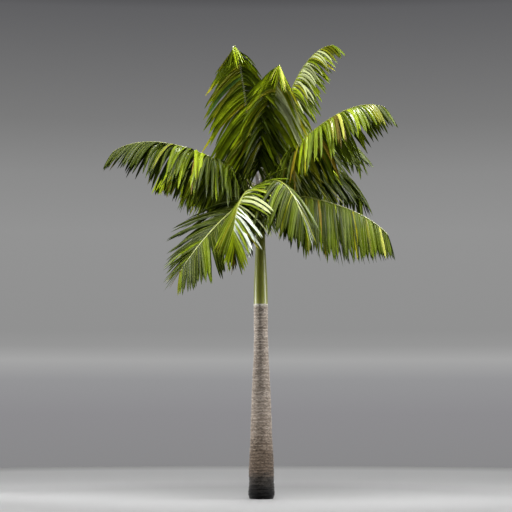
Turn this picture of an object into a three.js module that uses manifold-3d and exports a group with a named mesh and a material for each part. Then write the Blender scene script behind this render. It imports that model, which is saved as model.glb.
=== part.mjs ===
// Imperial palm: a ringed trunk swollen at the foot, a smooth green crownshaft
// and a crown of arching feather fronds whose leaflets hang from the ribs.
import * as THREE from 'three';
import { mergeVertices } from 'three/addons/utils/BufferGeometryUtils.js';
import Module from 'manifold-3d';

const wasm = await Module();
wasm.setup();
const { Manifold } = wasm;

// Sizes are in millimetres, angles in degrees, and the ground is z = 0.
const CLEARANCE = 0.3;
const WELD = 0.1;

// The trunk: height and radius, from the tucked-in foot to the neck below the crownshaft.
const TRUNK_STATIONS = [
  [0, 228],
  [90, 257],
  [350, 242],
  [540, 249],
  [1170, 217],
  [1970, 189],
  [2770, 150],
  [3250, 138],
  [3820, 140],
];
const TRUNK_SIDES = 24;
const TRUNK_RINGS = 20;

// The crownshaft: a smooth column of leaf sheaths that narrows to a domed shoulder.
const SHAFT_FOOT = 3820 + CLEARANCE;
const SHAFT_STATIONS = [
  [SHAFT_FOOT, 133],
  [4190, 129],
  [4570, 112],
  [5110, 90],
  [5800, 84],
  [6130, 80],
  [6270, 68],
];
const SHAFT_TOP = 6320;
const SHAFT_SIDES = 20;
const SHAFT_RINGS = 14;

// The whole stem leans a little towards -X on its way up.
const LEAN = -24;
const LEAN_HEIGHT = 6100;
const LEAN_POWER = 1.5;

// Ribs: tapered stalks that arch evenly and then hook over at the tip.
const RIB_STEPS = 48;
const RIB_RINGS = 11;
const RIB_SIDES = 4;
const RIB_FOOT_RADIUS = 26;
const RIB_TIP_RADIUS = 10;
const RIB_SUNK = 45;
const ARCH_POWER = 1.4;
const HOOK_POWER = 7;
// A rib that arches further than this bends round a wide gap, so it is made in two pieces.
const SPLIT_ARCH = 80;
const SPLIT_AT = 0.6;

// Leaflets: roof-shaped blades on both sides of a rib, longest a third of the way out.
const PAIRS = 13;
const BARE_STALK = 0.11;
const LEAFLET_LENGTH = 1320;
const LONGEST_AT = 0.3;
const FIRST_SHARE = 0.75;
const LAST_POWER = 1.1;
const LEAN_OUT_FIRST = 72;
const LEAN_OUT_LAST = 32;
const LEAN_OUT_POWER = 1.2;
const TIP_CLOSING = 18;
const TIP_POWER = 8;
const RANK_LIFTS = [22, -4];
const SAG_POWER = 0.7;
const LIMP_POWER = 0.6;
const LEAF_STEPS = 10;
const LEAF_BEND = 0.4;
const LEAF_SUNK = 1;
const LEAF_WIDTH = 0.11;
const LEAF_ROOT_WIDTH = 0.3;
const LEAF_THICKNESS = 0.014;
const LEAF_GAP = 3;
const LEAF_CUTS = [1, 0.8, 0.6, 0.42];

// One row per frond: heading counter-clockwise from +X, turn of the heading along the rib,
// rise of the stalk, even arch, hook at the tip, rib length and height of its seat on the
// crownshaft. Then its leaflets: their length against the full size, the last one's length
// against the longest, how strongly they sag, how far they droop from the root, how much more
// they droop on the counter-clockwise side, the lift of both sides, the roll that raises the
// clockwise side, and the seed of their small differences.
const FRONDS = [
  ['left', 195, -5, 36.5, 53, 22, 3140, 6150, 0.92, 0.34, 2, 0.4, 0, 20, 0, 11],
  ['low_left', 231, -6, -31, 20, 0, 2820, 6110, 0.86, 0.45, 0.8, 0.5, 0.3, 0, 18, 108],
  ['front_left', 257, -4, 5, 88, 24, 2620, 6010, 0.9, 0.45, 1, 0.5, -0.7, 0, 0, 207],
  ['front_right', 280.5, 12, 7.5, 62, 0, 3000, 6110, 0.95, 0.5, 2.4, 0.4, 0, 0, 0, 302],
  ['low_right', 335, -5.5, -7.5, 28, 14, 2920, 6060, 0.95, 0.38, 3.4, 1, 0, 0, 0, 399],
  ['high_right', 330, 8.5, 50.5, 43, 36, 3140, 6140, 0.88, 0.4, 2, 0.4, 0, 0, 0, 496],
  ['top_right', 350, -14, 77, 21, 60, 3220, 6270, 0.66, 0.42, 0.7, 0.1, 0, -55, 0, 594],
  ['top_front', 304, -36, 72, 24, 120, 2900, 6270, 0.98, 0.36, 1.4, 0.9, 0.4, -15, 0, 690],
  ['top_left', 214, 50, 80, 11, 133, 3160, 6270, 1, 0.36, 0.8, 1, -0.15, -10, 0, 789],
  ['back_right', 43.5, -7.5, 36, 66, 36, 3000, 6100, 0.9, 0.55, 1.6, 0.45, 0, 0, 0, 884],
  ['mid_right', 44, -12, 47, 40, 70, 3000, 6200, 1, 0.5, 1.5, 0.4, 0, 0, 0, 984],
  ['back_up', 90, 0, 66, 70, 50, 3100, 6260, 0.85, 0.4, 2.2, 0.6, 0, 0, 0, 1081],
  ['back_low', 100, 0, 24, 70, 30, 3100, 6030, 0.85, 0.4, 2.6, 0.5, 0, 0, 0, 1175],
  ['back_left', 124, 0, 34, 60, 30, 2950, 6160, 0.95, 0.4, 2.6, 0.5, 0, 0, 0, 1272],
  ['left_back', 150, 5, 40, 56, 30, 2500, 6060, 0.85, 0.4, 2.4, 0.5, 0, 0, 0, 1369],
  ['right_back', 14, 0, 4, 46, 30, 2450, 6020, 0.8, 0.4, 2.8, 0.6, 0, 0, 0, 1470],
].map(([
  name, heading, sweep, rise, arch, hook, length, seat,
  leaf, last, sag, droop, uneven, lift, tilt, seed,
]) => ({
  name, heading, sweep, rise, arch, hook, length, seat,
  leaf, last, sag, droop, uneven, lift, tilt, seed,
}));

const COLOURS = {
  trunk: '#8a8072',
  crownshaft: '#7f8a3a',
  fronds: ['#6f8a24', '#5d7a22', '#829633', '#4f6b25'],
};

const DOWN = new THREE.Vector3(0, 0, -1);
const radians = THREE.MathUtils.degToRad;
const leanAt = (z) => LEAN * (Math.max(z, 0) / LEAN_HEIGHT) ** LEAN_POWER;

// A closed solid from a geometry, with its seams welded and its empty faces dropped.
function solidFrom(geometry) {
  const bare = geometry.clone();
  bare.deleteAttribute('normal');
  bare.deleteAttribute('uv');
  const welded = mergeVertices(bare, 1e-3);
  const corners = welded.index.array;
  const faces = [];
  for (let i = 0; i < corners.length; i += 3) {
    const [a, b, c] = corners.slice(i, i + 3);
    if (a !== b && b !== c && c !== a) faces.push(a, b, c);
  }
  return new Manifold(new wasm.Mesh({
    numProp: 3,
    vertProperties: new Float32Array(welded.attributes.position.array),
    triVerts: new Uint32Array(faces),
  }));
}

// A finished mesh from a solid.
function meshFrom(solid, name, colour, roughness) {
  const { vertProperties, triVerts } = solid.getMesh();
  const geometry = new THREE.BufferGeometry();
  geometry.setAttribute('position', new THREE.BufferAttribute(vertProperties, 3));
  geometry.setIndex(new THREE.BufferAttribute(triVerts, 1));
  geometry.computeVertexNormals();
  const material = new THREE.MeshStandardMaterial({ color: colour, roughness, metalness: 0 });
  const mesh = new THREE.Mesh(geometry, material);
  mesh.name = name;
  return mesh;
}

// Moves every vertex of a geometry to where the rule puts it.
function reshape(geometry, rule) {
  const position = geometry.attributes.position;
  const vertex = new THREE.Vector3();
  for (let i = 0; i < position.count; i += 1) {
    vertex.fromBufferAttribute(position, i);
    const moved = rule(vertex);
    position.setXYZ(i, moved.x, moved.y, moved.z);
  }
  return geometry;
}

// A turned column through its stations, closed at both ends and leaning with the stem.
function column(stations, top, rings, sides, grow = 0) {
  const outline = new THREE.SplineCurve(stations.map(([z, r]) => new THREE.Vector2(r, z)));
  const wall = outline.getPoints(rings).map((p) => new THREE.Vector2(p.x + grow, p.y));
  const foot = new THREE.Vector2(0, wall[0].y);
  const cap = new THREE.Vector2(0, top + grow);
  const lathe = new THREE.LatheGeometry([foot, ...wall, cap], sides).rotateX(Math.PI / 2);
  return solidFrom(reshape(lathe, (v) => new THREE.Vector3(v.x + leanAt(v.z), v.y, v.z)));
}

// Radius of the crownshaft at a height, read between its stations.
function shaftRadius(z) {
  const above = SHAFT_STATIONS.findIndex(([height]) => height >= z);
  const [z1, r1] = SHAFT_STATIONS[above];
  const [z0, r0] = SHAFT_STATIONS[above - 1];
  return THREE.MathUtils.mapLinear(z, z0, z1, r0, r1);
}

// Direction of a frond's rib at a share of its length.
function ribDirection(frond, share) {
  const t = Math.max(share, 0);
  const turn = frond.arch * t ** ARCH_POWER + frond.hook * t ** HOOK_POWER;
  const rise = radians(frond.rise - turn);
  const heading = radians(frond.heading + frond.sweep * t);
  return new THREE.Vector3(
    Math.cos(rise) * Math.cos(heading),
    Math.cos(rise) * Math.sin(heading),
    Math.sin(rise),
  );
}

// Points along a rib, stepped out from its seat on the crownshaft.
function traceRib(frond) {
  const start = radians(frond.heading);
  const radius = shaftRadius(frond.seat);
  const point = new THREE.Vector3(
    radius * Math.cos(start) + leanAt(frond.seat),
    radius * Math.sin(start),
    frond.seat,
  );
  const points = [point.clone()];
  for (let i = 0; i < RIB_STEPS; i += 1) {
    const along = ribDirection(frond, (i + 0.5) / RIB_STEPS);
    point.addScaledVector(along, frond.length / RIB_STEPS);
    points.push(point.clone());
  }
  return points;
}

// Place and axes of the rib at a share of its length: along it, across it and out of its top.
function ribFrame(frond, share) {
  const along = ribDirection(frond, share);
  const heading = radians(frond.heading + frond.sweep * Math.max(share, 0));
  const across = new THREE.Vector3(-Math.sin(heading), Math.cos(heading), 0);
  const above = new THREE.Vector3().crossVectors(along, across);
  const place = share * RIB_STEPS;
  const step = Math.min(Math.max(Math.floor(place), 0), RIB_STEPS - 1);
  const point = frond.points[step].clone().lerp(frond.points[step + 1], place - step);
  return { point, along, across, above };
}

// One length of rib between two shares of the whole.
function ribSolid(frond, from, to) {
  const rings = Math.max(4, Math.round(RIB_RINGS * (to - from)));
  const corner = Math.PI / RIB_SIDES;
  const stalk = new THREE.CylinderGeometry(1, 1, 1, RIB_SIDES, rings, false, corner);
  return solidFrom(reshape(stalk, (v) => {
    const share = THREE.MathUtils.lerp(from, to, v.y + 0.5);
    const radius = THREE.MathUtils.lerp(RIB_FOOT_RADIUS, RIB_TIP_RADIUS, Math.max(share, 0));
    const { point, across, above } = ribFrame(frond, share);
    return point.addScaledVector(across, -v.x * radius).addScaledVector(above, v.z * radius);
  }));
}

// Even-handed jitter that comes out the same on every run.
function seeded(seed) {
  let state = seed;
  return (reach) => {
    state = (state * 16807) % 2147483647;
    return reach * (2 * (state / 2147483647) - 1);
  };
}

// Length of a leaflet against the longest, at a share of the leafy part of the rib.
function leafShare(p, last) {
  if (p < LONGEST_AT) {
    return 1 - (1 - FIRST_SHARE) * ((LONGEST_AT - p) / LONGEST_AT) ** 2;
  }
  return 1 - (1 - last) * ((p - LONGEST_AT) / (1 - LONGEST_AT)) ** LAST_POWER;
}

// Where a leaflet leaves the rib, which way it sets out, how long it is and how it sags.
function leafletPlan(frond, index, side, jitter) {
  const p = Math.min((index + 0.25 + 0.25 * side) / (PAIRS - 0.5), 1);
  const frame = ribFrame(frond, BARE_STALK + (1 - BARE_STALK) * p);
  const closing = (LEAN_OUT_FIRST - LEAN_OUT_LAST) * p ** LEAN_OUT_POWER + TIP_CLOSING * p ** TIP_POWER;
  const leanOut = radians(LEAN_OUT_FIRST - closing + jitter(8));
  const rank = RANK_LIFTS[index % RANK_LIFTS.length];
  const lift = radians(rank + frond.lift - side * frond.tilt + jitter(7));
  const start = new THREE.Vector3()
    .addScaledVector(frame.along, Math.cos(leanOut))
    .addScaledVector(frame.across, side * Math.sin(leanOut) * Math.cos(lift))
    .addScaledVector(frame.above, Math.sin(leanOut) * Math.sin(lift));
  const share = leafShare(p, frond.last);
  const length = LEAFLET_LENGTH * frond.leaf * share * (1 + jitter(0.12));
  const sag = frond.sag * share ** LIMP_POWER * (1 + jitter(0.25));
  const droop = frond.droop + side * frond.uneven;
  return { frame, side, start, length, sag, droop };
}

// A leaflet's course: it sets out from the rib and bends down under its own weight.
function leafCourse(plan, length) {
  const point = plan.frame.point.clone().addScaledVector(plan.start, -LEAF_SUNK);
  const stations = [{ point: point.clone(), along: plan.start }];
  for (let i = 0; i < LEAF_STEPS; i += 1) {
    const pull = plan.droop + plan.sag * ((i + 0.5) / LEAF_STEPS) ** SAG_POWER;
    const along = plan.start.clone().addScaledVector(DOWN, pull).normalize();
    point.addScaledVector(along, length / LEAF_STEPS);
    stations.push({ point: point.clone(), along });
  }
  return stations;
}

// A leaflet blade: a flat three-sided cone bent once along its course.
function leafSolid(plan, cut) {
  const length = plan.length * cut;
  const course = leafCourse(plan, length);
  const bend = Math.round(LEAF_BEND * LEAF_STEPS);
  const places = [course[0], course[bend], course[LEAF_STEPS]];
  const width = LEAF_WIDTH * plan.length;
  const halves = [width * LEAF_ROOT_WIDTH, width, 0].map((w) => w / Math.sqrt(3));
  const thick = LEAF_THICKNESS * plan.length / 1.5;
  const first = plan.frame.along.clone().projectOnPlane(plan.start).setLength(plan.side);
  const bent = new THREE.Quaternion();
  const blade = new THREE.ConeGeometry(1, 1, 3, 2);
  return solidFrom(reshape(blade, (v) => {
    const ring = Math.round((v.y + 0.5) * 2);
    const taper = ring === 2 ? 1 : 1 - ring / 2;
    const { point, along } = places[ring];
    const wide = first.clone().applyQuaternion(bent.setFromUnitVectors(plan.start, along));
    const top = new THREE.Vector3().crossVectors(wide, along);
    return point.clone()
      .addScaledVector(wide, halves[ring] * v.x / taper)
      .addScaledVector(top, thick * v.z / taper);
  }));
}

const trunkSolid = column(TRUNK_STATIONS, TRUNK_STATIONS.at(-1)[0], TRUNK_RINGS, TRUNK_SIDES);
const shaftSolid = column(SHAFT_STATIONS, SHAFT_TOP, SHAFT_RINGS, SHAFT_SIDES);
const shaftSpace = column(SHAFT_STATIONS, SHAFT_TOP, SHAFT_RINGS, SHAFT_SIDES, CLEARANCE);

// The ribs come first, so that every leaflet can be kept off all of them.
const pieces = [];
for (const frond of FRONDS) {
  frond.points = traceRib(frond);
  const gap = CLEARANCE / 2 / frond.length;
  const root = -RIB_SUNK / frond.length;
  if (frond.arch < SPLIT_ARCH) {
    pieces.push({ frond, name: frond.name, from: root, to: 1 });
  } else {
    pieces.push({ frond, name: `${frond.name}_stem`, from: root, to: SPLIT_AT - gap });
    pieces.push({ frond, name: `${frond.name}_tip`, from: SPLIT_AT + gap, to: 1 });
  }
}
for (const piece of pieces) {
  piece.rib = ribSolid(piece.frond, piece.from, piece.to);
  if (piece.from < 0) piece.rib = piece.rib.subtract(shaftSpace);
}

// What is already in place, with its box, so that far things are passed over quickly.
const placed = [];
function place(solid, owner) {
  const box = solid.boundingBox();
  placed.push({ solid, owner, low: box.min, high: box.max });
}
function isClear(solid, owner) {
  const { min, max } = solid.boundingBox();
  return placed.every((other) => {
    if (other.owner === owner) return true;
    for (let i = 0; i < 3; i += 1) {
      if (min[i] > other.high[i] + LEAF_GAP || max[i] < other.low[i] - LEAF_GAP) return true;
    }
    return solid.minGap(other.solid, LEAF_GAP * 2) > LEAF_GAP;
  });
}
place(trunkSolid, null);
place(shaftSolid, null);
for (const piece of pieces) place(piece.rib, piece);

// Leaflets in pairs along each rib; one that would touch its neighbours is cut short or left off.
for (const frond of FRONDS) {
  const jitter = seeded(frond.seed);
  for (let index = 0; index < PAIRS; index += 1) {
    for (const side of [-1, 1]) {
      const plan = leafletPlan(frond, index, side, jitter);
      const share = BARE_STALK + (1 - BARE_STALK) * Math.min((index + 0.25 + 0.25 * side) / (PAIRS - 0.5), 1);
      const owner = pieces.find((piece) => piece.frond === frond && share <= piece.to + 1e-6);
      const blade = LEAF_CUTS.map((cut) => leafSolid(plan, cut)).find((b) => isClear(b, owner));
      if (!blade) continue;
      place(blade, owner);
      (owner.blades ??= []).push(blade);
    }
  }
}

const palm = new THREE.Group();
palm.name = 'imperial_palm';
palm.add(meshFrom(trunkSolid, 'trunk', COLOURS.trunk, 0.9));
palm.add(meshFrom(shaftSolid, 'crownshaft', COLOURS.crownshaft, 0.45));
pieces.forEach((piece, number) => {
  const joined = Manifold.union([piece.rib, ...(piece.blades ?? [])]);
  // Pockets shut in between crossing blades are filled by keeping the outer skin alone.
  const skins = joined.decompose().sort((a, b) => b.volume() - a.volume());
  const solid = skins[0].simplify(WELD);
  const colour = COLOURS.fronds[number % COLOURS.fronds.length];
  palm.add(meshFrom(solid, `frond_${piece.name}`, colour, 0.5));
});

export default palm;
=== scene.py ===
# %% [markdown]
# # A young imperial palm
# The palm stands rooted in the ground: a ringed trunk that swells at the foot, a smooth green
# crownshaft made of rolled leaf sheaths, and a crown of feather fronds with hanging leaflets.
# The solids of the same palm are loaded first. They fix every place and size, and each of them
# is then dressed with a finer piece: bark with its rings, sheaths with their seams, ribs with a
# channel on top, and over two thousand leaflets in place of the few broad ones of the solids.

# %% Load the solids
import math
from collections import namedtuple

import bpy
import numpy as np
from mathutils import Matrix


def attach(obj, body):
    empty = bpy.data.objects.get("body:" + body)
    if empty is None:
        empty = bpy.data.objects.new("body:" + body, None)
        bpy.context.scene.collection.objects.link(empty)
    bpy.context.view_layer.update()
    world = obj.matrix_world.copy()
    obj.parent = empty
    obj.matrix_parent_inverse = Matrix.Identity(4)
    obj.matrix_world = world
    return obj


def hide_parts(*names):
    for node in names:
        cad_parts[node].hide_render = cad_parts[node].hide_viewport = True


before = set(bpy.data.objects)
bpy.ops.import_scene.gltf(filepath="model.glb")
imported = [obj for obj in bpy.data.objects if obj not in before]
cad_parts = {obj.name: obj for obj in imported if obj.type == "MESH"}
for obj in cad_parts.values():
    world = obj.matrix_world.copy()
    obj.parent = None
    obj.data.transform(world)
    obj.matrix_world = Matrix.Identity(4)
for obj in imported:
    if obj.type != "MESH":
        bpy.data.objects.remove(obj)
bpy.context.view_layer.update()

# %% [markdown]
# ## Helpers for every finish
# Colours are written as the sRGB hex values that a painter would pick, and the renderer wants
# linear light, so one function turns one into the other. A second small function adds a node,
# sets its options, and gives each socket a value or a link. A material is then a short list of
# calls that reads from the pattern to the shader. Several sockets of the Mix and Map Range nodes
# share a name, so these are called by number, and the numbers get names here.

# %% Colour and node helpers
MIX_A, MIX_B, MIXED = 6, 7, 2
FROM_LOW, FROM_HIGH, TO_LOW, TO_HIGH = 1, 2, 3, 4


def linear(code):
    """Linear colour of an sRGB hex code."""
    shares = [int(code[i:i + 2], 16) / 255 for i in (1, 3, 5)]
    light = [s / 12.92 if s <= 0.04045 else ((s + 0.055) / 1.055) ** 2.4 for s in shares]
    return (*light, 1.0)


def add(tree, kind, sockets=None, stops=None, **settings):
    """One node with its options, its socket values or links, and the stops of a colour ramp."""
    node = tree.nodes.new(kind)
    for name, value in settings.items():
        setattr(node, name, value)
    for name, value in (sockets or {}).items():
        if isinstance(value, bpy.types.NodeSocket):
            tree.links.new(value, node.inputs[name])
        else:
            node.inputs[name].default_value = value
    for number, (place, colour) in enumerate(stops or []):
        elements = node.color_ramp.elements
        element = elements[number] if number < 2 else elements.new(place)
        element.position = place
        element.color = linear(colour)
    return node


def new_material(name):
    """An empty material with its node tree and its shader."""
    material = bpy.data.materials.new(name)
    material.use_nodes = True
    return material, material.node_tree, material.node_tree.nodes["Principled BSDF"]


def per_metre(millimetres):
    """Texture scale that gives a pattern this size, because one Object unit is a metre."""
    return 1000 / millimetres


print("mid grey in linear light", [round(c, 3) for c in linear("#808080")])

# %% [markdown]
# ## The camera
# The palm is seen from the height of a standing person, from far enough away that its sides are
# almost parallel. Making the camera first means that every later look is taken from one place.
# Places are in metres, angles in degrees, and the lens and its sensor in millimetres.

# %% Camera
EYE = (-0.107, -30.0, 1.6)
TILT_UP = 6.0526
LENS, SENSOR_WIDTH = 106.47, 36

bpy.ops.object.select_all(action="DESELECT")
bpy.ops.object.camera_add(location=EYE, rotation=(math.radians(90 + TILT_UP), 0, 0))
camera = bpy.context.object
camera.data.lens = LENS
camera.data.sensor_width = SENSOR_WIDTH
bpy.context.scene.camera = camera
print("camera at", EYE, "tilted up", TILT_UP)

# %% [markdown]
# ## The shape of the stem
# Trunk and crownshaft are round columns whose radius changes with height, and the whole stem
# leans a little. A few stations give the radius, and a smooth curve through them gives it
# everywhere. These are the same stations that the solids were turned from.

# %% Stem stations
TRUNK_TOP, SHAFT_FOOT, SHAFT_TOP = 3.82, 3.8203, 6.32
TRUNK_STATIONS = [(0, 0.228), (0.09, 0.257), (0.35, 0.242), (0.54, 0.249), (1.17, 0.217),
                  (1.97, 0.189), (2.77, 0.150), (3.25, 0.138), (TRUNK_TOP, 0.140)]
SHAFT_STATIONS = [(SHAFT_FOOT, 0.133), (4.19, 0.129), (4.57, 0.112), (5.11, 0.090),
                  (5.80, 0.084), (6.13, 0.080), (6.27, 0.068)]
LEAN, LEAN_HEIGHT, LEAN_POWER = -0.024, 6.1, 1.5
PROFILE_STEPS = 24


def lean(z):
    """How far the stem's axis has moved in X at a height."""
    return LEAN * (np.maximum(z, 0) / LEAN_HEIGHT) ** LEAN_POWER


def smooth_profile(stations):
    """Height and radius, closely spaced, on a smooth curve through the stations."""
    p = np.array(stations, float)
    p = np.vstack([p[0], p, p[-1]])
    t = np.linspace(0, 1, PROFILE_STEPS, endpoint=False)[:, None]
    runs = []
    for a, b, c, d in zip(p, p[1:], p[2:], p[3:]):
        v0, v1 = (c - a) / 2, (d - b) / 2
        runs.append((2 * b - 2 * c + v0 + v1) * t**3 + (3 * c - 3 * b - 2 * v0 - v1) * t**2 + v0 * t + b)
    return np.vstack(runs + [p[-1:]])


trunk_profile = smooth_profile(TRUNK_STATIONS)
shaft_profile = smooth_profile(SHAFT_STATIONS)
print("trunk", len(trunk_profile), "shaft", len(shaft_profile), "profile points")

# %% [markdown]
# ## Raising a column by hand
# A turned column could be spun from a profile, but the trunk's rings differ from one to the next
# and the axis leans. So a filled circle is laid on the ground and raised as a potter would raise
# it: extrude the top face a little, scale it to the next radius, and go on. Small jitters come
# from a seeded counter, so that every run gives the same palm.

# %% Seeded jitter and the column maker
JITTER_STEP, JITTER_CYCLE = 16807, 2147483647


def seeded(seed):
    """Even-handed jitter that comes out the same on every run."""
    state = seed

    def jitter(reach):
        nonlocal state
        state = state * JITTER_STEP % JITTER_CYCLE
        return reach * (2 * state / JITTER_CYCLE - 1)

    return jitter


def raise_column(name, loops, sides):
    """A closed column through loops of height and radius, extruded loop by loop."""
    z, r = loops[0]
    bpy.ops.object.select_all(action="DESELECT")
    bpy.ops.mesh.primitive_circle_add(vertices=sides, radius=r, fill_type="NGON",
                                      location=(lean(z), 0, z))
    column = bpy.context.object
    column.name = name
    bpy.ops.object.transform_apply(location=True, rotation=True, scale=True)
    bpy.ops.object.mode_set(mode="EDIT")
    bpy.ops.mesh.select_all(action="SELECT")
    for (z0, r0), (z1, r1) in zip(loops, loops[1:]):
        step = (lean(z1) - lean(z0), 0, z1 - z0)
        bpy.ops.mesh.extrude_region_move(TRANSFORM_OT_translate={"value": step})
        grow = r1 / r0
        bpy.ops.transform.resize(value=(grow, grow, 1), center_override=(lean(z1), 0, z1))
    bpy.ops.mesh.select_all(action="SELECT")
    bpy.ops.mesh.normals_make_consistent(inside=False)
    bpy.ops.object.mode_set(mode="OBJECT")
    return column


# %% [markdown]
# ## The trunk and its rings
# Each ring on a palm's trunk is the scar of a leaf that fell. It shows as a shallow groove with a
# thin raised lip above it, about 68 mm from the next, and no two are quite level or quite alike.
# A bump texture would fade at the outline, where the rings show best, so each ring gets four real
# loops: groove, lip, shoulder and belly. Each loop also notes how pale its scar is, for the bark.

# %% Trunk loops
RING_SPACING, SPACING_JITTER, DEPTH_JITTER = 0.068, 0.16, 0.35
RING_SIDES, RING_SEED = 64, 41
FIRST_RING, LAST_RING = 0.06, 3.74
RING_FORM = {"groove": (0.0, -0.0030), "lip": (0.12, 0.0045),
             "shoulder": (0.32, 0.0018), "belly": (0.65, 0.0)}
SHOULDER_SCAR = 0.25
FOOT_LOOPS = [(0.0, 0.228), (0.03, 0.243)]
COLLAR_LOOPS, COLLAR_SCARS = [(3.80, 0.1385), (3.812, 0.1420), (TRUNK_TOP, 0.1390)], [0.3, 1.2, 0.6]

ring_jitter = seeded(RING_SEED)
trunk_loops = list(FOOT_LOOPS)
scar_of_loop = [0.0] * len(FOOT_LOOPS)
height = FIRST_RING
while height < LAST_RING:
    spacing = RING_SPACING * (1 + ring_jitter(SPACING_JITTER))
    depth = 1 + ring_jitter(DEPTH_JITTER)
    scars = {"lip": depth, "shoulder": SHOULDER_SCAR}
    for part, (share, out) in RING_FORM.items():
        z = height + share * spacing
        trunk_loops.append((z, float(np.interp(z, *trunk_profile.T)) + out * depth))
        scar_of_loop.append(scars.get(part, 0.0))
    height += spacing
trunk_loops += COLLAR_LOOPS
scar_of_loop += COLLAR_SCARS

trunk = raise_column("trunk_bark", trunk_loops, RING_SIDES)
print("trunk loops", len(trunk_loops), "vertices", len(trunk.data.vertices))

# %% [markdown]
# ## Uneven bark
# A living trunk is never truly round. Three Displace modifiers do what a sculptor's brush would:
# the first makes the girth uneven, the second makes the rings wavy, and the third roughens the
# skin. A vertex group keeps the foot flat on the ground and the top true under the crownshaft.

# %% Uneven bark
STILL_BELOW, STILL_ABOVE = 0.05, 3.79
TRUNK_CREASE = 50
UNEVENNESS = [("uneven girth", 0.22, 0.016, "NORMAL"), ("wavy rings", 0.16, 0.030, "Z"),
              ("rough skin", 0.03, 0.006, "NORMAL")]


def select_only(piece):
    """Select one piece and make it active, for the operators that follow."""
    bpy.ops.object.select_all(action="DESELECT")
    piece.select_set(True)
    bpy.context.view_layer.objects.active = piece


scar = trunk.data.attributes.new("scar", "FLOAT", "POINT")
scar.data.foreach_set("value", np.repeat(np.array(scar_of_loop, np.float32), RING_SIDES))
standing = trunk.vertex_groups.new(name="standing")
standing.add([v.index for v in trunk.data.vertices if STILL_BELOW < v.co.z < STILL_ABOVE], 1.0, "REPLACE")

select_only(trunk)
for name, size, strength, direction in UNEVENNESS:
    lumps = bpy.data.textures.new(name, "CLOUDS")
    lumps.noise_scale = size
    displace = trunk.modifiers.new(name, "DISPLACE")
    displace.texture = lumps
    displace.texture_coords = "LOCAL"
    displace.direction = direction
    displace.strength = strength
    displace.mid_level = 0.5
    displace.vertex_group = "standing"
    bpy.ops.object.modifier_apply(modifier=name)
bpy.ops.object.shade_smooth_by_angle(angle=math.radians(TRUNK_CREASE))
print("trunk spans", [round(min(v.co[i] for v in trunk.data.vertices), 3) for i in range(3)])

# %% [markdown]
# ## Bark
# The bark is a thin corky skin, grey-brown with paler, slightly pink patches where lichen and
# weather have bleached it. The scar lips are the palest part, and the foot is black with damp.
# Above the damp, painted shade darkens the bark gradually towards the foot, all the way up the
# trunk. The colour is layered in that order: patches, specks, scars, then the damp foot with its
# painted shade, and the pale collar by height. Patches and specks are squeezed in height, because
# bark stretches round the stem as it thickens.

# %% Bark material
DAMP_AND_SHADE_HEIGHT = 3.6
DAMP_AND_SHADE_RAGGED = 0.34
COLLAR_FROM, COLLAR_TO = 3.755, 3.80

bark, tree, shader = new_material("corky palm bark")
place = add(tree, "ShaderNodeTexCoord").outputs["Object"]
height_z = add(tree, "ShaderNodeSeparateXYZ", {0: place}).outputs["Z"]
flat = add(tree, "ShaderNodeMapping", {"Vector": place, "Scale": (1, 1, 2.6)}).outputs[0]
patches = add(tree, "ShaderNodeTexNoise", {"Vector": flat, "Scale": per_metre(210), "Detail": 5.0})
patch_tint = add(tree, "ShaderNodeValToRGB", {0: patches.outputs[0]},
                 [(0.34, "#8c8075"), (0.5, "#9e9286"), (0.66, "#b0a59a")]).outputs[0]
# Real flecks are about 10 mm across. They are drawn at 40 mm, because finer ones would not show.
specks = add(tree, "ShaderNodeTexNoise", {"Vector": flat, "Scale": per_metre(40), "Detail": 4.0})
speck_tint = add(tree, "ShaderNodeValToRGB", {0: specks.outputs[0]},
                 [(0.36, "#7c7c7c"), (0.52, "#d6d6d6"), (0.66, "#ffffff")]).outputs[0]
speckled = add(tree, "ShaderNodeMix", {0: 0.75, MIX_A: patch_tint, MIX_B: speck_tint},
               data_type="RGBA", blend_type="MULTIPLY").outputs[MIXED]
scar_here = add(tree, "ShaderNodeAttribute", attribute_name="scar").outputs["Fac"]
broken = add(tree, "ShaderNodeMapRange", {0: specks.outputs[0], FROM_LOW: 0.38, FROM_HIGH: 0.6}).outputs[0]
scar_share = add(tree, "ShaderNodeMath", {0: scar_here, 1: broken}, operation="MULTIPLY", use_clamp=True)
scarred = add(tree, "ShaderNodeMix", {0: scar_share.outputs[0], MIX_A: speckled, MIX_B: linear("#c2b8ac")},
              data_type="RGBA").outputs[MIXED]
ragged = add(tree, "ShaderNodeMath", {0: patches.outputs[0], 1: DAMP_AND_SHADE_RAGGED, 2: -DAMP_AND_SHADE_RAGGED / 2},
             operation="MULTIPLY_ADD")
edge_z = add(tree, "ShaderNodeMath", {0: height_z, 1: ragged.outputs[0]}, operation="ADD").outputs[0]
up_trunk = add(tree, "ShaderNodeMapRange", {0: edge_z, FROM_LOW: 0.0, FROM_HIGH: DAMP_AND_SHADE_HEIGHT}).outputs[0]
# Damp black at the very foot, and above it painted shade: the bark is darker towards the bottom of the
# trunk.
damp_and_shade = add(tree, "ShaderNodeValToRGB", {0: up_trunk},
           [(0.03, "#070707"), (0.07, "#2b2b2b"), (0.114, "#686868"), (0.158, "#958b82"),
            (0.24, "#a3998f"), (0.36, "#cdc8c3"), (0.5, "#dfdddb"), (1.0, "#ffffff")]).outputs[0]
footed = add(tree, "ShaderNodeMix", {0: 1.0, MIX_A: scarred, MIX_B: damp_and_shade},
             data_type="RGBA", blend_type="MULTIPLY").outputs[MIXED]
collar = add(tree, "ShaderNodeMapRange",
             {0: height_z, FROM_LOW: COLLAR_FROM, FROM_HIGH: COLLAR_TO}).outputs[0]
collar_share = add(tree, "ShaderNodeMath", {0: collar, 1: broken}, operation="MULTIPLY").outputs[0]
coloured = add(tree, "ShaderNodeMix", {0: collar_share, MIX_A: footed, MIX_B: linear("#d2cfc3")},
               data_type="RGBA")
tree.links.new(coloured.outputs[MIXED], shader.inputs["Base Color"])
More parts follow.
